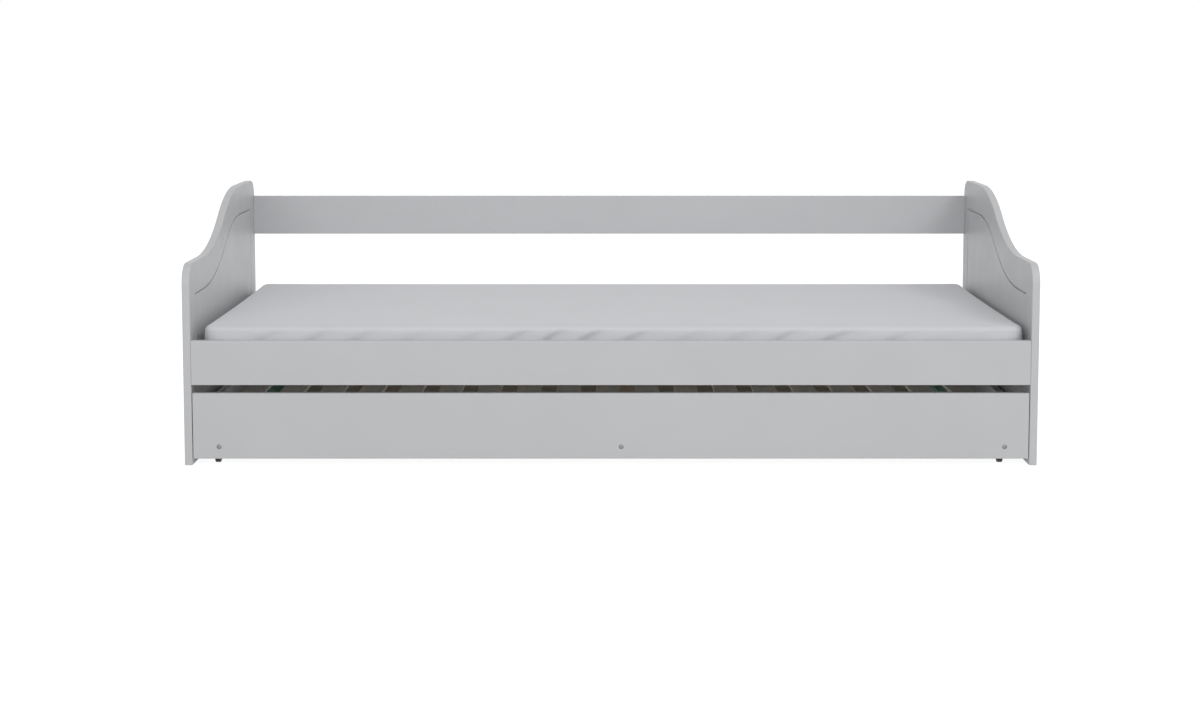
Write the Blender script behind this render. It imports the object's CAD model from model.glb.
"""Dresses a child's daybed and its trundle bed: painted boards, timber slats, mattress and castors.

Lengths are in metres. X runs along the bed, the open long side faces -Y and Z points up.
"""

import math

import bpy
import numpy as np
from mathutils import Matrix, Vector


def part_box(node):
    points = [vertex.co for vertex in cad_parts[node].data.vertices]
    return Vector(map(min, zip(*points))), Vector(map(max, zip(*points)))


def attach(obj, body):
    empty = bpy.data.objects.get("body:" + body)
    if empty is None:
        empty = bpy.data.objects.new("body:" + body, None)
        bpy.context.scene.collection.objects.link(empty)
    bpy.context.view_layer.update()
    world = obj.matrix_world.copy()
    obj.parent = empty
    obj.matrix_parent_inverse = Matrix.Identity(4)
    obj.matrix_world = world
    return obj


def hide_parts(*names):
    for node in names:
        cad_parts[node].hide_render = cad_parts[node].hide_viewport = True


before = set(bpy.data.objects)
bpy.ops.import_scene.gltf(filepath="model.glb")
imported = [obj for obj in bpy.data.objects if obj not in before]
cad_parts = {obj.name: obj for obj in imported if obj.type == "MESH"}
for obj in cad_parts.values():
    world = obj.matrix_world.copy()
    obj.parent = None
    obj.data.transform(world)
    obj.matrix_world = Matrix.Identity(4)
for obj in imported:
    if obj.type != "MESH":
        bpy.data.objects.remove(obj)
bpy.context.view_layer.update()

bl_info = {
    "name": "Daybed Workshop",
    "version": (1, 0, 0),
    "blender": (4, 5, 0),
    "location": "View3D > Sidebar > Daybed",
    "description": "Builds the boards, slats, mattress and castors of a child's daybed",
    "category": "Add Mesh",
}

# Axes in which a piece is drawn: its outline lies in the first two, its thickness is the third
FLAT = np.eye(3)
STANDING = np.array([[1.0, 0.0, 0.0], [0.0, 0.0, 1.0], [0.0, -1.0, 0.0]])
SIDEWAYS = np.array([[0.0, 1.0, 0.0], [0.0, 0.0, 1.0], [1.0, 0.0, 0.0]])

SIDES = ("left", "right")
BED_LEDGERS = ("front_slat_ledger", "back_slat_ledger")
TRUNDLE_LEDGERS = ("trundle_front_ledger", "trundle_back_ledger")
SLAT_COUNT = 19
LEDGER_GAPS = np.arange(2, SLAT_COUNT - 1, 3)
SHARP_ANGLE = math.radians(32)
FACE_BORDER = 0.001
BOARD_CORNER = 0.0008
LEAST_CORNER = 0.00002
SCREW_REACH = 0.03
LIT_POINT = (0, 0, 0.3)

# Turns and lengths below these count as none
LEAST_TURN = 1e-4
TINY = 1e-6
LEAST_MOVE = 1e-9


def srgb(red, green, blue):
    """A colour as a screen shows it, 0 to 255, turned into the linear colour that a shader takes."""
    level = np.array([red, green, blue]) / 255
    return tuple(np.where(level <= 0.04045, level / 12.92, ((level + 0.055) / 1.055) ** 2.4).tolist())


def length(name, default, description):
    return bpy.props.FloatProperty(
        name=name, description=description, default=default, min=0, precision=4, unit="LENGTH")


def number(name, default, description):
    return bpy.props.FloatProperty(name=name, description=description, default=default, precision=3)


def watts(name, default, description):
    return bpy.props.FloatProperty(
        name=name, description=description, default=default, min=0, unit="POWER")


def colour(name, default, description):
    return bpy.props.FloatVectorProperty(
        name=name, description=description, default=default, subtype="COLOR", min=0, max=1)


class DaybedPanelSettings(bpy.types.PropertyGroup):
    """Sizes of the two S-curved side panels."""
    edge_round: length("Edge rounding", 0.0025, "Radius of the outer edges of the side panels")
    joint_round: length("Joint rounding", 0.0006, "Radius of the edges where two boards meet")
    corner_r: length("Corner radius", 0.048, "Radius of the two top corners")
    shoulder_flat: length("Shoulder", 0.185, "Length of the flat shoulder from the front edge")
    crest_flat: length("Crest", 0.236, "Length of the flat top from the back edge")
    hollow_share: number("Hollow share", 0.563, "Share of the S curve that is the hollow arc")
    groove_w: length("Groove width", 0.0045, "Width of the groove round the infill panel")
    groove_d: length("Groove depth", 0.0045, "Depth of the groove round the infill panel")
    field_round: length("Field rounding", 0.0008, "Radius of the raised field's edge")


class DaybedBoardSettings(bpy.types.PropertyGroup):
    """Finish and joinery of the straight painted boards."""
    paint: colour("Paint", srgb(190, 191, 193), "Colour of the satin paint")
    raw: colour("Bare board", srgb(178, 167, 154), "Colour of the trundle's bare back board")
    edge_round: length("Edge rounding", 0.0010, "Radius of the edges of rails and trundle boards")
    bolt_inset: length("Bolt inset", 0.028, "Distance of the bolts from a rail's edges")
    bolt_r: length("Bolt hole", 0.0031, "Radius of the bolt holes")
    head_r: length("Counterbore", 0.0071, "Radius of the counterbores for the bolt heads")
    head_depth: length("Counterbore depth", 0.0045, "Depth of the counterbores")
    nut_inset: length("Nut inset", 0.030, "Distance of the barrel nuts from a rail's end")
    nut_r: length("Nut hole", 0.0051, "Radius of the barrel nut holes")
    nut_depth: length("Nut depth", 0.0145, "Depth of the barrel nut holes")


class DaybedTimberSettings(bpy.types.PropertyGroup):
    """Colours and edges of the slats, ledgers and beams."""
    pale: colour("Pale timber", srgb(250, 245, 236), "Colour of the slats and ledgers")
    green: colour("Green stain", srgb(88, 166, 142), "Colour of the two outer beams")
    brown: colour("Brown stain", srgb(222, 206, 178), "Colour of the middle beam")
    edge_round: length("Edge rounding", 0.002, "Radius of the edges of slats and ledgers")
    screw_head_r: length("Countersink", 0.0041, "Radius of the countersinks")
    screw_r: length("Screw hole", 0.0021, "Radius of the screw holes")
    screw_rim: length("Countersink rim", 0.0003, "Straight rim above a countersink's cone")
    screw_cone: length("Countersink depth", 0.0026, "Depth of the countersinks")


class DaybedMattressSettings(bpy.types.PropertyGroup):
    """Shape of the mattress and its fitted sheet."""
    sheet: colour("Sheet", srgb(206, 207, 211), "Colour of the fitted sheet")
    corner_r: length("Corner radius", 0.023, "Radius of the corners, seen from above")
    edge_r: length("Edge radius", 0.014, "Radius of the top and bottom edges")
    crown: length("Crown", 0.005, "Height of the crown in the middle")
    draw: length("Draw-in", 0.004, "How far the sides are drawn in between the corners")
    cell: length("Cell", 0.0155, "Size of a mesh cell before the cover is made finer")
    pressure: number("Pressure", 0.8, "How hard the filling presses on the cover")
    slack: number("Slack", 0.025, "Share by which the cover is too long at the sides")
    frames: bpy.props.IntProperty(name="Frames", description="Steps of the settling cover", default=16)
    most_move: length("Most move", 0.0016, "How far a point of the cover may move as it settles")
    fold_count: bpy.props.IntProperty(name="Folds", description="Folds all round the sides", default=50)
    fold_depth: length("Fold depth", 0.016, "Depth of the soft folds along the sides, at the fold reach")
    fold_reach: length("Fold reach", 0.034, "Drop below the top edge over which the folds grow deeper")
    fold_lean: number("Fold lean", 1.9, "How far the folds lean, in radians of the way round per metre")
    wrinkle_depth: length("Wrinkle depth", 0.0006, "Depth of the small wrinkles at the corners")


class DaybedMetalSettings(bpy.types.PropertyGroup):
    """Fasteners, castor housings and wheels."""
    steel: colour("Steel", srgb(190, 191, 194), "Colour of the zinc-plated steel")
    black: colour("Black", srgb(20, 20, 21), "Colour of the wheels and castor housings")
    head: colour("Screw heads", srgb(132, 133, 135), "Colour of the domed screw heads")
    dome_h: length("Dome height", 0.002, "Height of the domed screw heads")
    dome_r: length("Dome radius", 0.006, "Radius of the domed screw heads")
    middle_shift: bpy.props.FloatProperty(
        name="Middle screw", description="Place of the middle screw from its beam's centre",
        default=-0.015, unit="LENGTH")
    shank_r: length("Shank radius", 0.003, "Radius of the domed screws' shanks")
    bore_r: length("Wheel bore", 0.00258, "Radius of a wheel's bore")
    hub_r: length("Hub radius", 0.006, "Radius of a wheel's hub")
    rim_r: length("Rim radius", 0.011, "Inner radius of a wheel's rim")
    web_sink: length("Web sink", 0.0015, "How far a wheel's web lies below its rim")
    tyre_round: length("Tyre rounding", 0.0030, "Radius of the tread's edges")


class DaybedStageSettings(bpy.types.PropertyGroup):
    """Camera, lamps and background."""
    eye: bpy.props.FloatVectorProperty(
        name="Eye", description="Place of the camera", default=(-0.026, -5.3895, 1.0136), subtype="XYZ")
    tilt: bpy.props.FloatProperty(
        name="Tilt", description="How far the camera looks down", default=math.radians(5.448),
        subtype="ANGLE")
    lens: number("Lens", 62.2, "Focal length in millimetres")
    shift: number("Shift", -0.10, "Vertical shift of the lens")
    ambient: number("Ambient", 0.54, "Strength of the light from all round")
    right_lamp: watts("Right lamp", 160, "Power of the lamp high on the right")
    front_lamp: watts("Front lamp", 126, "Power of the lamp in front of the bed")
    top_lamp: watts("Top lamp", 63, "Power of the lamp above the bed")
    lamp_size: length("Lamp size", 3.0, "Width and height of the right and the top lamp")
    strip_width: length("Strip width", 7.0, "Width of the front lamp")
    strip_height: length("Strip height", 0.34, "Height of the front lamp")
    floor_white: number("Floor white", 0.93, "Brightness of the floor where a deep shadow lies")


def box_of(node):
    """Lowest and highest corner of a node of the frame, as arrays."""
    low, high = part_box(node)
    return np.array(low), np.array(high)


def put(points, origin, axes):
    """Moves points from a piece's own axes to the bed's: the origin plus each axis times its share."""
    return np.asarray(origin) + points @ axes


def flipped(axes):
    """The same axes with the thickness pointing the other way."""
    return axes * np.array([[-1.0], [1.0], [-1.0]])


def ring_faces(rows, count):
    """Quads between neighbouring rings of points, each ring closed on itself."""
    row = np.arange(rows - 1)[:, None] * count
    start = np.arange(count)
    after = (start + 1) % count
    quads = np.stack([row + start, row + count + start, row + count + after, row + after], -1)
    return quads.reshape(-1, 4)


def rectangle(width, height, corner, steps=3):
    """Outline of a rectangle, counterclockwise, whose corners are quarter circles."""
    turn = np.linspace(0, math.pi / 2, steps + 1)
    angle = (np.arange(4)[:, None] * math.pi / 2 + turn).ravel()
    side_x = np.repeat([1, -1, -1, 1], steps + 1)
    side_y = np.repeat([1, 1, -1, -1], steps + 1)
    return np.stack([side_x * (width / 2 - corner) + corner * np.cos(angle),
                     side_y * (height / 2 - corner) + corner * np.sin(angle)], 1)


def softened(outline, radius, steps=5):
    """Rounds every corner of a closed outline.

    Near a corner the outline follows a parabola: it leaves one edge and joins the next at the given
    distance from the corner, and bends as (1-t)^2 * A + 2t(1-t) * corner + t^2 * B.
    """
    step = np.roll(outline, -1, axis=0) - outline
    ahead = step / np.linalg.norm(step, axis=1, keepdims=True)
    behind = np.roll(ahead, 1, axis=0)
    t = np.linspace(0, 1, steps + 1)[None, :, None]
    leave = (outline - behind * radius)[:, None]
    join = (outline + ahead * radius)[:, None]
    bend = (1 - t) ** 2 * leave + 2 * t * (1 - t) * outline[:, None] + t ** 2 * join
    return bend.reshape(-1, 2)


def set_in(outline, insets):
    """Rings inside a closed outline.

    A ring's corner is the point whose distances from the two edges that meet there are the insets
    of those edges. On a straight run it moves square to the edge by the mean of the two.
    """
    step = np.roll(outline, -1, axis=0) - outline
    size = np.linalg.norm(step, axis=1)
    out_x, out_y = step[:, 1] / size, -step[:, 0] / size
    back_x, back_y = np.roll(out_x, 1), np.roll(out_y, 1)
    inset = np.asarray(insets)
    back_inset = np.roll(inset, 1, axis=1)
    turn = back_x * out_y - back_y * out_x
    straight = np.abs(turn) < LEAST_TURN
    divisor = np.where(straight, 1, turn)
    mean = (inset + back_inset) / 2
    x = np.where(straight, -out_x * mean, (inset * back_y - back_inset * out_y) / divisor)
    y = np.where(straight, -out_y * mean, (back_inset * out_x - inset * back_x) / divisor)
    return outline[None] + np.stack([x, y], -1)


def with_border(insets):
    """Puts a narrow flat border first, so that the face is shaded flat right up to its edge."""
    return np.concatenate([insets[:1] + FACE_BORDER, insets])


def ring_stack(rings, depths, thickness):
    """A board as a closed shell of rings, from the flat face outwards, with a flat face at each end.

    Ring k lies depths[k] below the face, after a first ring level with it. The under side mirrors it.
    """
    depths = np.broadcast_to(depths, (len(rings) - 1, rings.shape[1]))
    height = thickness / 2 - np.concatenate([depths[:1], depths])
    upper = np.dstack([rings, height])
    lower = np.dstack([rings, -height])[::-1]
    points = np.concatenate([upper, lower])
    rows, count = points.shape[:2]
    caps = [np.arange(count).tolist(), ((rows - 1) * count + np.arange(count))[::-1].tolist()]
    return points.reshape(-1, 3), ring_faces(rows, count).tolist() + caps


def eased(outline, rounding, reach):
    """Adds points where a small rounding meets a large one, so that the change takes little room.

    Each lies on the edge with the small rounding, at the given distance from the corner.
    """
    step = np.roll(outline, -1, axis=0) - outline
    ahead = step / np.linalg.norm(step, axis=1, keepdims=True)
    starts = np.flatnonzero(rounding < np.roll(rounding, 1))
    ends = np.flatnonzero(rounding < np.roll(rounding, -1))
    after_start = outline[starts] + ahead[starts] * reach
    before_end = (outline + step)[ends] - ahead[ends] * reach
    where = np.concatenate([starts, ends]) + 1
    return (np.insert(outline, where, np.concatenate([after_start, before_end]), axis=0),
            np.insert(rounding, where, rounding[np.concatenate([starts, ends])]))


def rounded_board(outline, rounding, thickness, steps=4, ease_reach=1.6):
    """A board whose edges are quarter circles.

    At the angle a of an edge of radius r the ring is set in by r * (1 - cos a) and lies
    r * (1 - sin a) below the face. A corner takes the height of its larger radius. Where the radius
    changes, a point is added at ease_reach times the largest one.
    """
    rounding = np.broadcast_to(np.asarray(rounding, float), len(outline))
    if np.ptp(rounding) > 0:
        outline, rounding = eased(outline, rounding, ease_reach * rounding.max())
    angle = np.linspace(math.pi / 2, 0, steps + 1)[:, None]
    corner = np.maximum(rounding, np.roll(rounding, 1))
    rings = set_in(outline, with_border((1 - np.cos(angle)) * rounding))
    return ring_stack(rings, (1 - np.sin(angle)) * corner, thickness)


def straight_board(width, height, thickness, rounding, steps=4):
    """A rectangular board whose edges are quarter circles, and whose corners are slightly rounded.

    The rings are those of a rounded board, and a ring's corner radius shrinks by its inset.
    """
    angle = np.linspace(math.pi / 2, 0, steps + 1)
    insets = with_border((1 - np.cos(angle)) * rounding)
    rings = np.stack([rectangle(width - 2 * inset, height - 2 * inset,
                                max(BOARD_CORNER - inset, LEAST_CORNER)) for inset in insets])
    return ring_stack(rings, ((1 - np.sin(angle)) * rounding)[:, None], thickness)


def box_board(node, axes, rounding):
    """A rectangular board that fills a node's box."""
    low, high = box_of(node)
    points, faces = straight_board(*np.abs(axes @ (high - low)), rounding)
    return put(points, (low + high) / 2, axes), faces


def turned(profile, origin, axes, steps=32):
    """A solid of revolution round the third axis.

    The profile gives radius and height, from the axis to the axis, upwards on the outer side.
    """
    radius, height = np.asarray(profile[1:-1], float).T
    angle = np.arange(steps) * 2 * math.pi / steps
    ring = np.stack([radius[:, None] * np.cos(angle), radius[:, None] * np.sin(angle),
                     np.repeat(height[:, None], steps, axis=1)], -1)
    rows = len(radius)
    poles = np.array([[0, 0, profile[0][1]], [0, 0, profile[-1][1]]])
    points = np.concatenate([ring.reshape(-1, 3), poles])
    start = np.arange(steps)
    after = (start + 1) % steps
    last = (rows - 1) * steps
    first_fan = np.stack([np.full(steps, rows * steps), after, start], 1)
    last_fan = np.stack([np.full(steps, rows * steps + 1), last + start, last + after], 1)
    walls = ring_faces(rows, steps)[:, ::-1]
    return put(points, origin, axes), walls.tolist() + first_fan.tolist() + last_fan.tolist()


def turned_ring(profile, origin, axes, steps=48):
    """A ring-shaped solid of revolution: a closed profile of radius and height carried round."""
    radius, height = profile.T
    angle = np.arange(steps) * 2 * math.pi / steps
    points = np.stack([radius * np.cos(angle[:, None]), radius * np.sin(angle[:, None]),
                       np.repeat(height[None], steps, axis=0)], -1)
    quads = ring_faces(steps + 1, len(profile)) % (steps * len(profile))
    return put(points.reshape(-1, 3), origin, axes), quads.tolist()


def joined(shells):
    """Several shells as one list of points and faces."""
    points = np.concatenate([shell[0] for shell in shells])
    starts = np.cumsum([0] + [len(shell[0]) for shell in shells[:-1]])
    faces = [[index + start for index in face]
             for shell, start in zip(shells, starts.tolist()) for face in shell[1]]
    return points, faces


def mesh_object(name, shell):
    """A new object at the origin, whose mesh holds the shell."""
    mesh = bpy.data.meshes.new(name)
    mesh.from_pydata(np.asarray(shell[0]).tolist(), [], shell[1])
    mesh.validate()
    piece = bpy.data.objects.new(name, mesh)
    bpy.context.scene.collection.objects.link(piece)
    return piece


def bake_modifiers(piece):
    """Replaces a piece's mesh by what its modifiers make of it, and removes them."""
    shaped = piece.evaluated_get(bpy.context.evaluated_depsgraph_get())
    mesh = bpy.data.meshes.new_from_object(shaped)
    piece.modifiers.clear()
    old = piece.data
    piece.data = mesh
    bpy.data.meshes.remove(old)


def drill(piece, cutters):
    """Takes the closed shells in cutters out of a piece."""
    cutter = mesh_object("cutter", joined(cutters))
    modifier = piece.modifiers.new("Holes", "BOOLEAN")
    modifier.operation = "DIFFERENCE"
    modifier.solver = "EXACT"
    modifier.object = cutter
    bake_modifiers(piece)
    mesh = cutter.data
    bpy.data.objects.remove(cutter)
    bpy.data.meshes.remove(mesh)


def hand_over(piece, finish, slot, body, *nodes, soft=False):
    """Smooths and dresses a finished piece, and tells the frame what it rides on and stands for."""
    mesh = piece.data
    mesh.polygons.foreach_set("use_smooth", np.ones(len(mesh.polygons), bool))
    mesh.materials.clear()
    mesh.materials.append(finish)
    mesh.update()
    if not soft:
        mesh.set_sharp_from_angle(angle=SHARP_ANGLE)
        weighted = piece.modifiers.new("Normals", "WEIGHTED_NORMAL")
        weighted.keep_sharp = True
    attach(piece, body)
    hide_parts(*nodes)


def add_board(node, kind, axes, rounding, finish, slot, body, holes=()):
    """A rectangular board in place of a node, with its holes drilled."""
    piece = mesh_object(f"{node}_{kind}", box_board(node, axes, rounding))
    if holes:
        drill(piece, holes)
    hand_over(piece, finish, slot, body, node)


class Finish:
    """A material or world in the making, with its nodes, its links and its main shader."""

    def __init__(self, owner, shader="Principled BSDF"):
        owner.use_nodes = True
        self.owner = owner
        self.nodes = owner.node_tree.nodes
        self.links = owner.node_tree.links
        self.shader = self.nodes[shader]

    def feed(self, node, inputs):
        """Sets a node's inputs, which are numbers, colours or other nodes' outputs."""
        for name, value in inputs.items():
            if isinstance(value, bpy.types.NodeSocket):
                self.links.new(value, node.inputs[name])
            else:
                node.inputs[name].default_value = value

    def add(self, kind, inputs=None, **settings):
        """A new node with its settings and inputs."""
        node = self.nodes.new(kind)
        for name, value in settings.items():
            setattr(node, name, value)
        self.feed(node, inputs or {})
        return node

    def dress(self, inputs):
        """Sets the main shader's inputs, and hands back the material or world."""
        self.feed(self.shader, inputs)
        return self.owner

    def place(self, stretch=(1, 1, 1), shift=(0, 0, 0)):
        """The point on the piece in metres, stretched and shifted."""
        point = self.add("ShaderNodeTexCoord").outputs["Object"]
        mapping = self.add("ShaderNodeMapping", {"Vector": point, "Scale": stretch, "Location": shift})
        return mapping.outputs["Vector"]

    def noise(self, where, scale, detail=2.0, roughness=0.5, distortion=0.0):
        node = self.add("ShaderNodeTexNoise", {
            "Vector": where, "Scale": scale, "Detail": detail, "Roughness": roughness,
            "Distortion": distortion})
        return node.outputs["Fac"]

    def span(self, value, to_low, to_high, low=0.3, high=0.7):
        """A value carried from one range, at first that of a noise, to another, and kept within it."""
        node = self.add("ShaderNodeMapRange", {
            "Value": value, "From Min": low, "From Max": high, "To Min": to_low, "To Max": to_high})
        return node.outputs["Result"]

    def mix(self, share, first, second):
        return self.add("ShaderNodeMix", {0: share, 6: first, 7: second}, data_type="RGBA").outputs[2]

    def shades(self, share, base, dark, light):
        """A colour that goes from a darker to a lighter tone of itself."""
        return self.mix(share, tone(base, dark), tone(base, light))

    def maths(self, operation, first, second):
        return self.add("ShaderNodeMath", {0: first, 1: second}, operation=operation).outputs[0]

    def bump(self, height, strength, distance, under=None):
        inputs = {"Height": height, "Strength": strength, "Distance": distance}
        if under is not None:
            inputs["Normal"] = under
        return self.add("ShaderNodeBump", inputs).outputs["Normal"]


def tone(colour_value, share):
    """A colour made lighter or darker, with its alpha."""
    return tuple(min(channel * share, 1.0) for channel in colour_value) + (1.0,)


def once(name, make, *values):
    """The material of that name, made the first time that it is asked for."""
    return bpy.data.materials.get(name) or make(name, *values)


def satin_paint(name, paint):
    """Sprayed and rolled satin paint: a fine orange peel over faint roller marks."""
    finish = Finish(bpy.data.materials.new(name))
    where = finish.place()
    blush = finish.span(finish.noise(where, 5.0, detail=3.0), 0.0, 1.0)
    roller = finish.bump(finish.noise(where, 90.0, detail=1.0), 0.05, 0.0006)
    return finish.dress({
        "Base Color": finish.shades(blush, paint, 0.985, 1.015),
        "Roughness": finish.span(finish.noise(where, 14.0), 0.40, 0.48),
        "Normal": finish.bump(finish.noise(where, 620.0, detail=1.0), 0.12, 0.0001, roller)})


def fibreboard(name, board):
    """Bare pressed board: short fibres in a fine felt, with paler and darker flecks."""
    finish = Finish(bpy.data.materials.new(name))
    where = finish.place()
    cloud = finish.span(finish.noise(where, 6.0, detail=3.0), 0.0, 1.0)
    felt = finish.noise(finish.place(stretch=(0.4, 1.0, 1.0)), 520.0, detail=3.0, roughness=0.7)
    fleck = finish.span(finish.noise(where, 340.0), 0.0, 0.5, low=0.62, high=0.72)
    felted = finish.mix(finish.span(felt, 0.0, 0.4), finish.shades(cloud, board, 0.95, 1.05),
                        tone(board, 0.82))
    return finish.dress({
        "Base Color": finish.mix(fleck, felted, tone(board, 0.7)),
        "Roughness": finish.span(felt, 0.68, 0.82),
        "Normal": finish.bump(felt, 0.2, 0.0002)})


def timber(name, wood, along):
    """Planed timber with its grain along one axis: broad growth bands, fine fibres and pores."""
    finish = Finish(bpy.data.materials.new(name))
    run = np.ones(3)
    run[along] = 0.05
    where = finish.place(stretch=run.tolist())
    bands = finish.noise(where, 26.0, detail=4.0, roughness=0.55, distortion=0.6)
    fibres = finish.noise(where, 420.0, detail=3.0, roughness=0.6)
    pores = finish.span(finish.noise(where, 900.0, detail=1.0), 0.0, 1.0, low=0.60, high=0.72)
    board = finish.span(finish.noise(finish.place(), 7.0, detail=1.0), 0.0, 0.35, low=0.35, high=0.65)
    banded = finish.shades(finish.span(bands, 0.0, 1.0, low=0.35, high=0.65), wood, 0.92, 1.04)
    varied = finish.mix(board, banded, tone(wood, 0.93))
    fibred = finish.mix(finish.span(fibres, 0.2, 0.0), varied, tone(wood, 0.66))
    return finish.dress({
        "Base Color": finish.mix(finish.maths("MULTIPLY", pores, 0.3), fibred, tone(wood, 0.55)),
        "Roughness": finish.span(fibres, 0.52, 0.66),
        "Normal": finish.bump(fibres, 0.25, 0.0003)})


def cotton(name, cloth, threads=480.0):
    """Woven cotton sheet: crossing threads on the cloth's own map, slubs and a soft sheen."""
    finish = Finish(bpy.data.materials.new(name))
    cut = finish.add("ShaderNodeUVMap", uv_map="cloth").outputs["UV"]
    warp, weft = [finish.add("ShaderNodeTexWave", {"Vector": cut, "Scale": threads},
                             bands_direction=way).outputs["Fac"] for way in "XY"]
    weave = finish.maths("MAXIMUM", warp, weft)
    where = finish.place()
    cloud = finish.span(finish.noise(where, 4.0), 0.0, 1.0)
    slub = finish.noise(finish.place(stretch=(0.15, 1.0, 1.0)), 700.0, detail=1.0)
    creases = finish.bump(finish.noise(where, 38.0, detail=3.0, distortion=0.8), 0.10, 0.002)
    return finish.dress({
        "Base Color": finish.mix(finish.span(slub, 0.0, 0.12, low=0.35, high=0.75),
                                 finish.shades(cloud, cloth, 0.985, 1.01), tone(cloth, 0.86)),
        "Roughness": 0.88, "Sheen Weight": 0.40, "Sheen Roughness": 0.45, "Specular IOR Level": 0.25,
        "Normal": finish.bump(weave, 0.25, 0.00008, creases)})


def clouded(name, base, cloud_scale, tones, roughness, grain_scale, grain, detail=2.0, metal=1.0):
    """A hard surface with a cloudy colour and gloss over a very fine grain."""
    finish = Finish(bpy.data.materials.new(name))
    where = finish.place()
    cloud = finish.noise(where, cloud_scale, detail)
    return finish.dress({
        "Base Color": finish.shades(cloud, base, *tones), "Metallic": metal,
        "Roughness": finish.span(cloud, *roughness),
        "Normal": finish.bump(finish.noise(where, grain_scale), grain, 0.0001)})


def zinc(name, steel):
    """Zinc-plated steel: metal with fine brushing and cloudy roughness."""
    return clouded(name, steel, cloud_scale=160.0, detail=3.0, tones=(0.86, 1.08),
                   roughness=(0.24, 0.40), grain_scale=1500.0, grain=0.06)


def dull_nickel(name, metal):
    """Dull nickel on a screw head, finely scratched and a little cloudy."""
    return clouded(name, metal, cloud_scale=300.0, tones=(0.85, 1.1), roughness=(0.42, 0.55),
                   grain_scale=2200.0, grain=0.08)


def moulded(name, plastic):
    """Matt moulded plastic with a fine spark-eroded texture."""
    return clouded(name, plastic, cloud_scale=220.0, tones=(0.8, 1.3), roughness=(0.42, 0.58),
                   grain_scale=2400.0, grain=0.15, metal=0.0)


def paint_of(scene):
    return once("satin_paint", satin_paint, scene.daybed_boards.paint)


def slat_timber(scene, along):
    return once("pale_timber_" + "xyz"[along], timber, scene.daybed_timber.pale, along)


def countersink(sizes):
    """Profile of a countersunk screw hole, upwards from its far end to just above the face."""
    return [(0, -SCREW_REACH), (sizes.screw_r, -SCREW_REACH), (sizes.screw_r, -sizes.screw_cone),
            (sizes.screw_head_r, -sizes.screw_rim), (sizes.screw_head_r, sizes.screw_rim),
            (0, sizes.screw_rim)]


def straight_hole(radius, reach, mouth=0.001):
    """Profile of a plain hole, from its far end to just above the face."""
    return [(0, -reach), (radius, -reach), (radius, mouth), (0, mouth)]


class SideOutline:
    """The side panel's outline, with depth u behind the front edge and height z.

    Its top edge is a flat shoulder, a hollow arc, a crown arc that meets it where both slope alike,
    and a flat crest.
    """

    def __init__(self, sizes):
        front_low, front_high = box_of("left_front_stile")
        back_high = box_of("left_back_stile")[1]
        self.depth = back_high[1] - front_low[1]
        self.shoulder = front_high[2]
        self.top = back_high[2]
        self.stile = front_high[1] - front_low[1]
        self.back = self.depth - self.stile
        self.base = box_of("left_base_rail")[1][2]
        self.band = self.shoulder - box_of("left_top_rail")[0][2]
        self.curve_from = sizes.shoulder_flat
        self.curve_to = self.depth - sizes.crest_flat
        run = self.curve_to - self.curve_from
        slope = 2 * math.atan((self.top - self.shoulder) / run)
        self.hollow_r = sizes.hollow_share * run / math.sin(slope)
        self.crown_r = run / math.sin(slope) - self.hollow_r
        self.turn = self.curve_from + self.hollow_r * math.sin(slope)
        self.corner_r = sizes.corner_r

    def height(self, u):
        """Height of the top edge at the depths u."""
        hollow = np.sqrt(np.maximum(self.hollow_r ** 2 - (u - self.curve_from) ** 2, 0))
        crown = np.sqrt(np.maximum(self.crown_r ** 2 - (self.curve_to - u) ** 2, 0))
        rise = np.where(u <= self.turn, self.shoulder + self.hollow_r - hollow,
                        self.top - self.crown_r + crown)
        return np.where(u <= self.curve_from, self.shoulder, np.where(u < self.curve_to, rise, self.top))

    def edge(self, drop, steps=72):
        """Points along the top edge between the stiles, lowered by drop."""
        curve = np.linspace(self.curve_from, self.curve_to, steps)
        u = np.concatenate([[self.stile], curve, [self.back]])
        return np.stack([u, self.height(u) - drop], 1)

    def corner(self, centre, start, steps=14):
        angle = np.linspace(start, start + math.pi / 2, steps)
        return centre + self.corner_r * np.stack([np.cos(angle), np.sin(angle)], 1)

    def front_stile(self):
        r = self.corner_r
        corner = self.corner(np.array([r, self.shoulder - r]), math.pi / 2)
        return np.concatenate([[[0, 0], [self.stile, 0], [self.stile, self.shoulder]], corner])

    def back_stile(self):
        r = self.corner_r
        corner = self.corner(np.array([self.depth - r, self.top - r]), 0)
        return np.concatenate([[[self.back, 0], [self.depth, 0]], corner, [[self.back, self.top]]])

    def top_rail(self):
        return np.concatenate([self.edge(self.band), self.edge(0)[::-1]])

    def base_rail(self):
        return np.array([[self.stile, 0], [self.back, 0], [self.back, self.base], [self.stile, self.base]])

    def infill(self):
        floor = np.array([[self.stile, self.base], [self.back, self.base]])
        return np.concatenate([floor, self.edge(self.band)[::-1]])


def fielded_panel(outline, thickness, sizes):
    """The infill panel: a raised field inside a groove.

    The groove is as wide as given where its edge is level or upright, and narrows with the slope
    of the S curve, because the field's edge is the same curve moved straight down.
    """
    step = np.roll(outline, -1, axis=0) - outline
    upright = np.abs(step[:, 0]) < TINY
    level_share = np.abs(step[:, 0]) / np.linalg.norm(step, axis=1)
    groove = sizes.groove_w * np.where(upright, 1, level_share)
    angle = np.linspace(math.pi / 2, 0, 4)[:, None]
    field = groove + (1 - np.cos(angle)) * sizes.field_round
    insets = np.concatenate([field, groove[None], np.zeros((1, len(outline)))])
    depth = np.concatenate([(1 - np.sin(angle[:, 0])) * sizes.field_round, [sizes.groove_d] * 2])
    return ring_stack(set_in(outline, with_border(insets)), depth[:, None], thickness)


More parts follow.
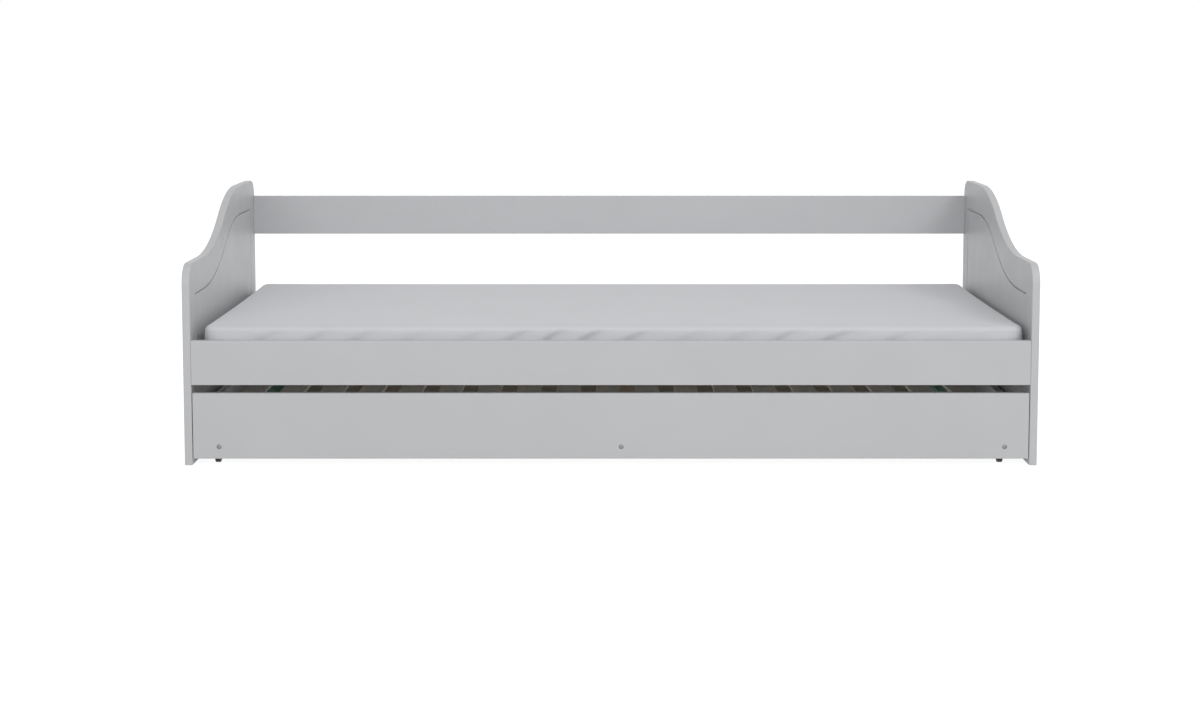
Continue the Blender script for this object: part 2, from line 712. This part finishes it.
def bolt_heights(node, inset):
    low, high = box_of(node)
    return low[2] + inset, high[2] - inset


def stile_holes(side, back, boards):
    """Counterbored bolt holes of a stile, cut from the panel's outer face."""
    low, high = box_of(f"{side}_{'back' if back else 'front'}_stile")
    thickness = high[0] - low[0]
    outer_x = low[0] if side == "left" else high[0]
    axes = flipped(SIDEWAYS) if side == "left" else SIDEWAYS
    y = high[1] - thickness / 2 if back else low[1] + thickness / 2
    rails = ("back_lower_rail", "back_upper_rail") if back else ("front_rail",)
    through = thickness * 1.2
    profile = [(0, -through), (boards.bolt_r, -through), (boards.bolt_r, -boards.head_depth),
               (boards.head_r, -boards.head_depth), (boards.head_r, boards.head_depth),
               (0, boards.head_depth)]
    return [turned(profile, (outer_x, y, z), axes)
            for rail in rails for z in bolt_heights(rail, boards.bolt_inset)]


class DAYBED_OT_side_panels(bpy.types.Operator):
    """Build the five boards of each S-curved side panel"""
    bl_idname = "daybed.side_panels"
    bl_label = "Side panels"

    def execute(self, context):
        sizes = context.scene.daybed_panels
        boards = context.scene.daybed_boards
        paint = paint_of(context.scene)
        outline = SideOutline(sizes)
        edge, joint = sizes.edge_round, sizes.joint_round
        corner = outline.corner(np.zeros(2), 0)
        curve = len(outline.edge(0))
        shapes = {
            "front_stile": (outline.front_stile(), [edge, joint, edge] + [edge] * len(corner)),
            "back_stile": (outline.back_stile(), [edge, edge] + [edge] * len(corner) + [joint]),
            "top_rail": (outline.top_rail(), [joint] * curve + [edge] * (curve - 1) + [joint]),
            "base_rail": (outline.base_rail(), [edge, joint, joint, joint]),
        }
        for side in SIDES:
            low, high = box_of(f"{side}_base_rail")
            thickness = high[0] - low[0]
            origin = ((low[0] + high[0]) / 2, box_of(f"{side}_front_stile")[0][1], 0)
            shells = {part: rounded_board(*shape, thickness) for part, shape in shapes.items()}
            shells["panel"] = fielded_panel(outline.infill(), thickness, sizes)
            for part, (points, faces) in shells.items():
                node = f"{side}_{part}"
                piece = mesh_object(f"{node}_board", (put(points, origin, SIDEWAYS), faces))
                if part.endswith("stile"):
                    drill(piece, stile_holes(side, part == "back_stile", boards))
                hand_over(piece, paint, "paint", "frame", node)
        return {"FINISHED"}


def nut_holes(node, boards):
    """Barrel nut holes near both ends of a rail, cut from its rear face."""
    low, high = box_of(node)
    return [turned(straight_hole(boards.nut_r, boards.nut_depth), (x, high[1], z), flipped(STANDING))
            for x in (low[0] + boards.nut_inset, high[0] - boards.nut_inset)
            for z in bolt_heights(node, boards.bolt_inset)]


class DAYBED_OT_rails(bpy.types.Operator):
    """Build the front rail and the two back rails"""
    bl_idname = "daybed.rails"
    bl_label = "Rails"

    def execute(self, context):
        boards = context.scene.daybed_boards
        for node in ("front_rail", "back_upper_rail", "back_lower_rail"):
            add_board(node, "board", STANDING, boards.edge_round, paint_of(context.scene), "paint",
                      "frame", nut_holes(node, boards))
        return {"FINISHED"}


def row_of(low, high, width):
    """Centres along the bed of a row of slats that fills the stretch from low to high."""
    return np.linspace(low + width / 2, high - width / 2, SLAT_COUNT)


def slat_holes(x, top, ledgers, sizes):
    """Countersunk holes through both ends of the slats at the places x."""
    return [turned(countersink(sizes), (place, sum(box_of(ledger))[1] / 2, top), FLAT)
            for place in x for ledger in ledgers]


def add_ledgers(scene, ledgers, x, body):
    """A front and a back ledger, screwed from inside in every third gap between the slats at x."""
    sizes = scene.daybed_timber
    gaps = (x[LEDGER_GAPS - 1] + x[LEDGER_GAPS]) / 2
    for node, face, axes in zip(ledgers, (1, 0), (flipped(STANDING), STANDING)):
        box = box_of(node)
        holes = [turned(countersink(sizes), (place, box[face][1], sum(box)[2] / 2), axes)
                 for place in gaps]
        add_board(node, "strip", FLAT, sizes.edge_round / 2, slat_timber(scene, 0), "slat_wood", body,
                  holes)


class DAYBED_OT_slat_base(bpy.types.Operator):
    """Build the upper bed's slats and the two ledgers that carry them"""
    bl_idname = "daybed.slat_base"
    bl_label = "Slat base"

    def execute(self, context):
        sizes = context.scene.daybed_timber
        low, high = box_of("bed_slats")
        slat_low, slat_high = box_of("trundle_slat_01")
        width = slat_high[0] - slat_low[0]
        x = row_of(low[0], high[0], width)
        slat = straight_board(width, high[1] - low[1], high[2] - low[2], sizes.edge_round)
        middle = (low + high) / 2
        row = [(slat[0] + np.array([place, middle[1], middle[2]]), slat[1]) for place in x]
        slats = mesh_object("bed_slat_row", joined(row))
        drill(slats, slat_holes(x, high[2], BED_LEDGERS, sizes))
        hand_over(slats, slat_timber(context.scene, 1), "slat_wood", "frame", "bed_slats")
        add_ledgers(context.scene, BED_LEDGERS, x, "frame")
        return {"FINISHED"}


def corner_squeeze(places, half, radius):
    """Moves a grid on a rectangle into the same rectangle with round corners.

    In the square of a corner, a and b run from 0 at the arc's centre lines to 1 at the edges. The
    point goes to radius * (a * sqrt(1 - b^2 / 2), b * sqrt(1 - a^2 / 2)) from the arc's centre.
    """
    past = np.clip((np.abs(places) - (half - radius)) / radius, 0, None)
    bent = radius * past * np.sqrt(1 - past[..., ::-1] ** 2 / 2)
    return np.sign(places) * (np.minimum(np.abs(places), half - radius) + bent)


def mattress_shell(sizes, low, high):
    """The mattress cover as a closed shell, with its cloth map and its weights for the settling.

    A grid covers the top. Its edge loop goes on as rings: a quarter circle outwards and down, an
    upright wall, and a quarter circle inwards to the flat underside, a second grid. A ring's point
    lies square to the loop, at the profile's reach and height. Then each half cross-section
    is scaled so that the sides bow inwards by draw * (1 - s^2), with s from -1 to 1 along the side,
    and the top rises by crown * (1 - s^2) * (1 - t^2).
    """
    half = (high - low)[:2] / 2
    edge = sizes.edge_r
    inner = half - edge
    radius = sizes.corner_r - edge
    wall_top = high[2] - low[2] - sizes.crown
    lines = [np.linspace(-reach, reach, round(2 * reach / sizes.cell) + 1) for reach in inner]
    grid = np.stack(np.meshgrid(*lines), -1)
    index = np.arange(grid.size // 2).reshape(grid.shape[:2])
    loop = np.concatenate([index[0, :-1], index[:-1, -1], index[-1, :0:-1], index[:0:-1, 0]])
    top = corner_squeeze(grid, inner, radius).reshape(-1, 2)
    grid = grid.reshape(-1, 2)
    away = top[loop] - np.clip(top[loop], radius - inner, inner - radius)
    away /= np.linalg.norm(away, axis=1, keepdims=True)

    bend = np.linspace(0, math.pi / 2, 7)
    wall_steps = max(round((wall_top - 2 * edge) / (sizes.cell / 2)), 1)
    wall = np.linspace(wall_top - edge, edge, wall_steps + 1)[1:-1]
    reach = edge * np.concatenate([np.sin(bend[1:]), np.ones(len(wall)), np.cos(bend[:-1])])
    level = np.concatenate([wall_top - edge * (1 - np.cos(bend[1:])), wall,
                            edge * (1 - np.sin(bend[:-1]))])
    girth = np.cumsum(np.hypot(np.diff(reach, prepend=0), np.diff(level, prepend=wall_top)))
    ring = top[loop] + reach[:, None, None] * away
    ring_cloth = grid[loop] + girth[:, None, None] * away
    cloth_map = np.concatenate([grid, ring_cloth.reshape(-1, 2), grid])
    flat = np.concatenate([top, ring.reshape(-1, 2), top])
    z = np.concatenate([np.full(len(top), wall_top), np.repeat(level, len(loop)), np.zeros(len(top))])

    share = np.clip(1 - (flat / half) ** 2, 0, 1)
    z += sizes.crown * share[:, 1] * share[:, 0] * (z >= wall_top - TINY)
    bowed = flat * (1 - sizes.draw * share[:, ::-1] / half)
    points = np.column_stack([bowed + (low + high)[:2] / 2, z + low[2]])

    cells = np.stack([index[:-1, :-1], index[:-1, 1:], index[1:, 1:], index[1:, :-1]], -1).reshape(-1, 4)
    under = len(flat) - len(top)
    rings = np.arange(len(top), under).reshape(ring.shape[:2])
    rings = np.concatenate([loop[None], rings, under + loop[None]])
    ahead = np.roll(rings, -1, axis=1)
    walls = np.stack([rings[:-1], rings[1:], ahead[1:], ahead[:-1]], -1).reshape(-1, 4)
    faces = np.concatenate([cells, walls, under + cells[:, ::-1]]).tolist()
    return (points, faces), cloth_map, np.clip((wall_top - z) / wall_top, 0, 1)


def add_group(piece, name, weights):
    """A vertex group with a weight for each point, set in steps of a tenth."""
    group = piece.vertex_groups.new(name=name)
    level = np.round(weights * 10).astype(int)
    for step in np.unique(level[level > 0]).tolist():
        group.add(np.flatnonzero(level == step).tolist(), step / 10, "REPLACE")


def read_points(mesh, what="co"):
    """The places or the normals of a mesh's points, one row for each."""
    flat = np.empty(len(mesh.vertices) * 3)
    mesh.vertices.foreach_get(what, flat)
    return flat.reshape(-1, 3)


def move_points(mesh, points):
    mesh.vertices.foreach_set("co", points.ravel())


def settle_cover(piece, fall, sizes):
    """Lets the filling press the cover out, with spare cloth at the sides that gathers into folds.

    Places are shares of the fall from the top edge to the underside. The cover is held below
    held_from, fully after held_over more. The spare cloth is all there at spare_over, and fades out
    over the last spare_end. No point moves further than allowed.
    """
    held_from, held_over, spare_over, spare_end = 0.82, 0.1, 0.5, 0.2
    add_group(piece, "held", np.clip((fall - held_from) / held_over, 0, 1))
    add_group(piece, "spare", np.clip(fall / spare_over, 0, 1) * np.clip((1 - fall) / spare_end, 0, 1))
    modifier = piece.modifiers.new("Cover", "CLOTH")
    cloth = modifier.settings
    cloth.quality = 5
    cloth.mass = 0.2
    cloth.tension_stiffness = 20
    cloth.compression_stiffness = 20
    cloth.shear_stiffness = 8
    cloth.bending_stiffness = 0.05
    cloth.air_damping = 4
    cloth.use_pressure = True
    cloth.uniform_pressure_force = sizes.pressure
    cloth.effector_weights.gravity = 0
    cloth.vertex_group_mass = "held"
    cloth.vertex_group_shrink = "spare"
    cloth.shrink_min = 0
    cloth.shrink_max = -sizes.slack
    modifier.collision_settings.use_collision = False
    modifier.point_cache.frame_start = 1
    modifier.point_cache.frame_end = sizes.frames
    scene = bpy.context.scene
    for step in range(1, sizes.frames + 1):
        scene.frame_set(step)
    shaped = piece.evaluated_get(bpy.context.evaluated_depsgraph_get())
    start = read_points(piece.data)
    move = read_points(shaped.data) - start
    far = np.linalg.norm(move, axis=1, keepdims=True)
    move *= np.minimum(1, sizes.most_move / np.maximum(far, LEAST_MOVE))
    piece.modifiers.clear()
    move_points(piece.data, start + move)
    scene.frame_set(1)


def make_finer(piece):
    """Subdivides the cover once."""
    modifier = piece.modifiers.new("Finer", "SUBSURF")
    modifier.levels = 1
    modifier.render_levels = 1
    bake_modifiers(piece)


def way_round(places, half, radius):
    """How far round a rectangle with round corners the points are, as an angle from 0 to 2 pi.

    It starts at the middle of the front and runs to the right. A point's place is that of the
    nearest point of the inner rectangle plus the radius times the angle it is seen at from there.
    """
    inner = half - radius
    core = np.clip(places, -inner, inner)
    (in_x, in_y), (core_x, core_y) = inner, core.T
    turn = np.arctan2(*(places - core).T[::-1])
    right, back = places.T > 0
    turn = np.where(~right & ~back, turn + 2 * math.pi, turn)
    straight = np.select(
        [right & ~back, right & back, ~right & back],
        [core_x + core_y + in_y, 2 * in_x + in_y + core_y - core_x, 2 * in_x + 3 * in_y - core_x - core_y],
        4 * (in_x + in_y) + core_x - core_y - in_y)
    round_length = 4 * (in_x + in_y) + 2 * math.pi * radius
    return 2 * math.pi * (straight + radius * (turn + math.pi / 2)) / round_length, turn


def side_folds(piece, sizes, low, high, bunches=9, wrinkle_count=240, upright_only=1.2):
    """Presses soft slanting folds into the sides of the cover, and small wrinkles into its corners.

    With the angle w round the bed, a fold is the third power of 1 + sin(v) + 0.35 sin(2v + 0.8),
    brought to 1 at most, where v is a whole number of turns of w that leans with the depth below
    the rim and wanders by 1.3 sin(5w + 0.7) + 0.9 sin(11w + 2.0). Folds only go inwards. They are
    deepest low down and in the middle of the long sides, and come in loose bunches. The wrinkles
    are sin(240 w), only where the corner turns. Both fade out where the cover is nearly level.
    """
    points = read_points(piece.data)
    normals = read_points(piece.data, "normal")
    places = (points - (low + high) / 2)[:, :2]
    round_angle, turn = way_round(places, (high - low)[:2] / 2, sizes.corner_r)
    fall = high[2] - sizes.crown - points[:, 2]
    below = np.clip(fall / sizes.fold_reach, 0, 1)
    side = np.clip(1 - np.abs(normals[:, 2]) * upright_only, 0, 1)
    wander = 1.3 * np.sin(5 * round_angle + 0.7) + 0.9 * np.sin(11 * round_angle + 2.0)
    phase = sizes.fold_count * (round_angle + sizes.fold_lean * fall) + wander
    bunch = 0.3 + 0.7 * (0.5 + 0.5 * np.sin(bunches * round_angle + 2.6))
    strength = bunch * (0.3 + 0.7 * np.abs(np.cos(round_angle)) ** 3)
    wave = np.clip((1 + np.sin(phase) + 0.35 * np.sin(2 * phase + 0.8)) / 2.2, 0, 1)
    folds = -strength * below ** 1.3 * wave ** 3
    wrinkles = sizes.wrinkle_depth * np.sin(2 * turn) ** 2 * np.sin(wrinkle_count * round_angle)
    depth = (sizes.fold_depth * folds + wrinkles) * side
    move_points(piece.data, points + normals * depth[:, None])


def fit_to_box(piece, low, high):
    """Stretches a piece a little, so that it fills its box exactly."""
    points = read_points(piece.data)
    least, most = points.min(axis=0), points.max(axis=0)
    move_points(piece.data, low + (points - least) * (high - low) / (most - least))


class DAYBED_OT_mattress(bpy.types.Operator):
    """Build the mattress in its fitted sheet, and let its cover settle"""
    bl_idname = "daybed.mattress"
    bl_label = "Mattress"

    def execute(self, context):
        sizes = context.scene.daybed_mattress
        low, high = box_of("mattress")
        shell, cloth_map, fall = mattress_shell(sizes, low, high)
        piece = mesh_object("mattress_cover", shell)
        mesh = piece.data
        corner_point = np.empty(len(mesh.loops), int)
        mesh.loops.foreach_get("vertex_index", corner_point)
        mesh.uv_layers.new(name="cloth").data.foreach_set("uv", cloth_map[corner_point].ravel())
        settle_cover(piece, fall, sizes)
        make_finer(piece)
        side_folds(piece, sizes, low, high)
        fit_to_box(piece, low, high)
        finish = once("cotton_sheet", cotton, sizes.sheet)
        hand_over(piece, finish, "sheet", "frame", "mattress", soft=True)
        return {"FINISHED"}


class DAYBED_OT_trundle_box(bpy.types.Operator):
    """Build the trundle's boards, beams and ledgers"""
    bl_idname = "daybed.trundle_box"
    bl_label = "Trundle box"

    def execute(self, context):
        scene = context.scene
        sizes = scene.daybed_timber
        edge = scene.daybed_boards.edge_round
        paint = paint_of(scene)
        raw = once("bare_fibreboard", fibreboard, scene.daybed_boards.raw)
        for node, axes, finish, slot in (
                ("trundle_front", STANDING, paint, "paint"), ("trundle_back", STANDING, raw, "raw_board"),
                ("trundle_left_end", SIDEWAYS, paint, "paint"),
                ("trundle_right_end", SIDEWAYS, paint, "paint")):
            add_board(node, "board", axes, edge, finish, slot, "trundle")
        green = once("green_timber", timber, sizes.green, 1)
        brown = once("brown_timber", timber, sizes.brown, 1)
        for node, finish, slot in (("trundle_left_beam", green, "green_wood"),
                                   ("trundle_middle_beam", brown, "brown_wood"),
                                   ("trundle_right_beam", green, "green_wood")):
            add_board(node, "timber", FLAT, sizes.edge_round, finish, slot, "trundle")
        add_ledgers(scene, TRUNDLE_LEDGERS, trundle_row(), "trundle")
        return {"FINISHED"}


def trundle_row():
    """Centres of the trundle's slats along the bed."""
    first, last = box_of("trundle_slat_01"), box_of(f"trundle_slat_{SLAT_COUNT:02d}")
    return row_of(first[0][0], last[1][0], first[1][0] - first[0][0])


class DAYBED_OT_trundle_slats(bpy.types.Operator):
    """Build the trundle's slats, each with its screw holes"""
    bl_idname = "daybed.trundle_slats"
    bl_label = "Trundle slats"

    def execute(self, context):
        sizes = context.scene.daybed_timber
        finish = slat_timber(context.scene, 1)
        for number_of, x in enumerate(trundle_row(), start=1):
            node = f"trundle_slat_{number_of:02d}"
            holes = slat_holes([x], box_of(node)[1][2], TRUNDLE_LEDGERS, sizes)
            add_board(node, "board", FLAT, sizes.edge_round, finish, "slat_wood", "trundle", holes)
        return {"FINISHED"}


def wheel_profile(wheel_r, half_w, sizes, wall_slope=0.0004, small_round=0.0003):
    """Closed profile of a wheel, radius against place along the axle: tread, rim, web and hub."""
    sunk = half_w - sizes.web_sink
    half = np.array([[sizes.bore_r, -half_w], [sizes.hub_r, -half_w], [sizes.hub_r + wall_slope, -sunk],
                     [sizes.rim_r - wall_slope, -sunk], [sizes.rim_r, -half_w], [wheel_r, -half_w]])
    corners = np.concatenate([half, half[::-1] * [1, -1]])
    tread = [len(half) - 1, len(half)]
    radius = np.full((len(corners), 1), small_round)
    radius[tread] = sizes.tyre_round
    return softened(corners, radius)


class DAYBED_OT_castors(bpy.types.Operator):
    """Build the four wheels and dress the castors' steel parts"""
    bl_idname = "daybed.castors"
    bl_label = "Castors"

    def execute(self, context):
        sizes = context.scene.daybed_metal
        plastic = once("black_moulding", moulded, sizes.black)
        painted = once("black_paint", satin_paint, sizes.black)
        for place in ("front_left", "front_right", "back_left", "back_right"):
            node = f"wheel_{place}"
            low, high = box_of(node)
            profile = wheel_profile((high[2] - low[2]) / 2, (high[0] - low[0]) / 2, sizes)
            wheel = mesh_object(f"{node}_tyre", turned_ring(profile, (low + high) / 2, SIDEWAYS))
            hand_over(wheel, plastic, "wheel_plastic", node, node)
            dress_node(f"castor_housing_{place}", painted)
        dress_node("castor_axles", once("zinc_steel", zinc, sizes.steel))
        return {"FINISHED"}


def dress_node(node, finish):
    """Gives a node of the frame its material."""
    for material_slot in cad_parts[node].material_slots:
        material_slot.material = finish


class DAYBED_OT_fasteners(bpy.types.Operator):
    """Build the three domed screws of the trundle front and plate the other fasteners"""
    bl_idname = "daybed.fasteners"
    bl_label = "Fasteners"

    def execute(self, context):
        sizes = context.scene.daybed_metal
        steel = once("zinc_steel", zinc, sizes.steel)
        low, high = box_of("front_board_screws")
        ball_r = (sizes.dome_r ** 2 + sizes.dome_h ** 2) / (2 * sizes.dome_h)
        swing = np.linspace(math.asin(sizes.dome_r / ball_r), 0, 7)
        dome = np.stack([ball_r * np.sin(swing), ball_r * (np.cos(swing) - 1)], 1)
        reach = high[1] - low[1]
        rim = 0.0002
        shank = [(0, -reach), (sizes.shank_r, -reach), (sizes.shank_r, -sizes.dome_h),
                 (sizes.dome_r - rim, -sizes.dome_h)]
        profile = shank + dome.tolist()
        middle_x = sum(box_of("trundle_middle_beam"))[0] / 2 + sizes.middle_shift
        shells = [turned(profile, (x, low[1], (low[2] + high[2]) / 2), STANDING, 40)
                  for x in (low[0] + sizes.dome_r, middle_x, high[0] - sizes.dome_r)]
        screws = mesh_object("front_domed_screws", joined(shells))
        nickel = once("dull_nickel", dull_nickel, sizes.head)
        hand_over(screws, nickel, "steel", "trundle", "front_board_screws")
        for node in ("rail_bolts", "barrel_nuts", "bed_screws", "trundle_screws"):
            dress_node(node, steel)
        dress_node("rail_dowels", slat_timber(context.scene, 0))
        return {"FINISHED"}


def seen_share(finish):
    """1 for rays that reach the camera, straight or through gloss or glass, and 0 for all others."""
    path = finish.add("ShaderNodeLightPath")
    either = finish.maths("MAXIMUM", path.outputs["Is Camera Ray"], path.outputs["Is Glossy Ray"])
    return finish.maths("MAXIMUM", either, path.outputs["Is Transmission Ray"])


def white_world(ambient):
    """A world that looks white and lights the bed evenly from all round."""
    studio = Finish(bpy.data.worlds.new("studio"), "Background")
    strength = studio.span(seen_share(studio), ambient, 1.0, low=0.0, high=1.0)
    bpy.context.scene.world = studio.dress({"Color": (1, 1, 1, 1), "Strength": strength})


def white_floor(floor_white, size=40.0, bounce=0.75, shadow=0.3):
    """A pale floor, white to the eye, that keeps a faint shadow of the bed.

    Other rays than the eye's meet a plain matt floor of the brightness bounce. The eye sees a glow
    plus a matt white of the strength shadow, which darkens where the bed keeps the light off.
    """
    half = size / 2
    corners = np.array([[-half, -half, 0], [half, -half, 0], [half, half, 0], [-half, half, 0]])
    floor = mesh_object("floor", (corners, [[0, 1, 2, 3]]))
    finish = Finish(bpy.data.materials.new("floor_white"))
    finish.dress({"Base Color": (bounce, bounce, bounce, 1), "Roughness": 0.9,
                  "Specular IOR Level": 0.0})
    glow = finish.add("ShaderNodeEmission", {"Color": (1, 1, 1, 1), "Strength": floor_white})
    plain = finish.add("ShaderNodeBsdfDiffuse", {"Color": (shadow, shadow, shadow, 1)})
    shown = finish.add("ShaderNodeAddShader", {0: glow.outputs[0], 1: plain.outputs[0]})
    blend = finish.add("ShaderNodeMixShader", {
        0: seen_share(finish), 1: finish.shader.outputs[0], 2: shown.outputs[0]})
    finish.links.new(blend.outputs[0], finish.nodes["Material Output"].inputs["Surface"])
    floor.data.materials.append(finish.owner)


def lamp(name, place, size, power):
    """A soft rectangular lamp that shines towards the bed."""
    light = bpy.data.lights.new(name, "AREA")
    light.shape = "RECTANGLE"
    light.size, light.size_y = size
    light.energy = power
    holder = bpy.data.objects.new(name, light)
    bpy.context.scene.collection.objects.link(holder)
    holder.location = place
    towards = Vector(LIT_POINT) - Vector(place)
    holder.rotation_euler = towards.to_track_quat("-Z", "Y").to_euler()


class DAYBED_OT_stage(bpy.types.Operator):
    """Set up the camera, the lamps, the floor and the white background"""
    bl_idname = "daybed.stage"
    bl_label = "Stage"

    def execute(self, context):
        scene = context.scene
        sizes = scene.daybed_stage
        camera = bpy.data.cameras.new("camera")
        camera.lens = sizes.lens
        camera.shift_y = sizes.shift
        holder = bpy.data.objects.new("camera", camera)
        scene.collection.objects.link(holder)
        holder.location = sizes.eye
        holder.rotation_euler = (math.pi / 2 - sizes.tilt, 0, 0)
        scene.camera = holder
        white_world(sizes.ambient)
        white_floor(sizes.floor_white)
        square = (sizes.lamp_size, sizes.lamp_size)
        strip = (sizes.strip_width, sizes.strip_height)
        lamp("right_lamp", (5.0, -5.5, 6.0), square, sizes.right_lamp)
        lamp("front_lamp", (-0.7, -7.0, 1.30), strip, sizes.front_lamp)
        lamp("top_lamp", (0.0, -1.0, 9.0), square, sizes.top_lamp)
        scene.view_settings.view_transform = "Standard"
        return {"FINISHED"}


STEPS = (DAYBED_OT_stage, DAYBED_OT_side_panels, DAYBED_OT_rails, DAYBED_OT_slat_base,
         DAYBED_OT_mattress, DAYBED_OT_trundle_box, DAYBED_OT_trundle_slats, DAYBED_OT_castors,
         DAYBED_OT_fasteners)
SETTINGS = {
    "daybed_panels": DaybedPanelSettings,
    "daybed_boards": DaybedBoardSettings,
    "daybed_timber": DaybedTimberSettings,
    "daybed_mattress": DaybedMattressSettings,
    "daybed_metal": DaybedMetalSettings,
    "daybed_stage": DaybedStageSettings,
}


class DAYBED_PT_workshop(bpy.types.Panel):
    """Lists the steps that build the daybed and the sizes and colours they use"""
    bl_idname = "DAYBED_PT_workshop"
    bl_label = "Daybed"
    bl_space_type = "VIEW_3D"
    bl_region_type = "UI"
    bl_category = "Daybed"

    def draw(self, context):
        for step in STEPS:
            self.layout.operator(step.bl_idname)
        for name in SETTINGS:
            group = getattr(context.scene, name)
            column = self.layout.box().column()
            for setting in group.__annotations__:
                column.prop(group, setting)


def register():
    for name, group in SETTINGS.items():
        bpy.utils.register_class(group)
        setattr(bpy.types.Scene, name, bpy.props.PointerProperty(type=group))
    for step in STEPS:
        bpy.utils.register_class(step)
    bpy.utils.register_class(DAYBED_PT_workshop)


def unregister():
    bpy.utils.unregister_class(DAYBED_PT_workshop)
    for step in reversed(STEPS):
        bpy.utils.unregister_class(step)
    for name, group in reversed(SETTINGS.items()):
        delattr(bpy.types.Scene, name)
        bpy.utils.unregister_class(group)


def main():
    register()
    bpy.ops.daybed.stage()
    bpy.ops.daybed.side_panels()
    bpy.ops.daybed.rails()
    bpy.ops.daybed.slat_base()
    bpy.ops.daybed.mattress()
    bpy.ops.daybed.trundle_box()
    bpy.ops.daybed.trundle_slats()
    bpy.ops.daybed.castors()
    bpy.ops.daybed.fasteners()


if __name__ == "__main__":
    main()
